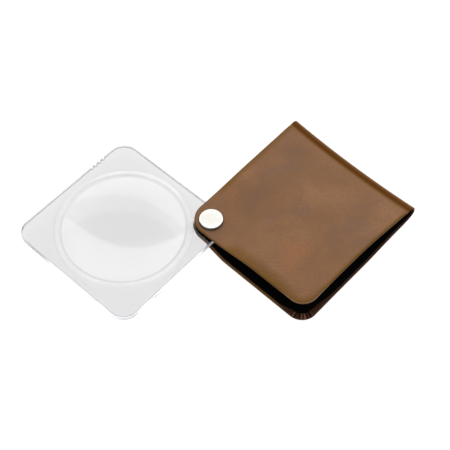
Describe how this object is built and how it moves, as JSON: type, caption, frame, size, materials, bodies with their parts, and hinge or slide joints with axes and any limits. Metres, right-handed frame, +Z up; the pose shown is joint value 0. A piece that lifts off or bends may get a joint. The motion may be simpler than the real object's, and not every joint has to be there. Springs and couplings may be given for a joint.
{
  "type": "folding pocket magnifying glass",
  "caption": "Folding pocket magnifier: a clear square acrylic lens blade swings on a capped rivet out of a folded, lined leather case.",
  "frame": {"origin": "centre of the open magnifier's footprint, on the surface it lies on", "axes": "+X along the open magnifier from the lens blade to the case, +Y across it, +Z up out of the front of the case"},
  "size_m": [0.179, 0.107, 0.0137],
  "materials": {
    "clear_acrylic": "polished clear moulding",
    "brown_leather": "smooth waxed, mottled",
    "black_lining": "matt",
    "board": "grey paperboard",
    "nickel": "polished nickel plate",
    "brass": "drawn",
    "washer": "nylon sheet"
  },
  "bodies": {
    "case": {"leather_cover": "brown_leather", "lining": "black_lining", "front_board": "board", "back_board": "board", "front_cap": "nickel", "back_cap": "nickel", "rivet_socket": "brass", "rivet_post": "brass", "front_washer": "washer", "back_washer": "washer"},
    "blade": {"lens_blade": "clear_acrylic"}
  },
  "joints": [
    {"name": "lens_swing", "type": "hinge", "parent": "case", "child": "blade", "pos_m": [-0.0038, -0.00525, 0.0069], "axis": [0, 0, 1], "range_deg": [-90, 180]}
  ]
}
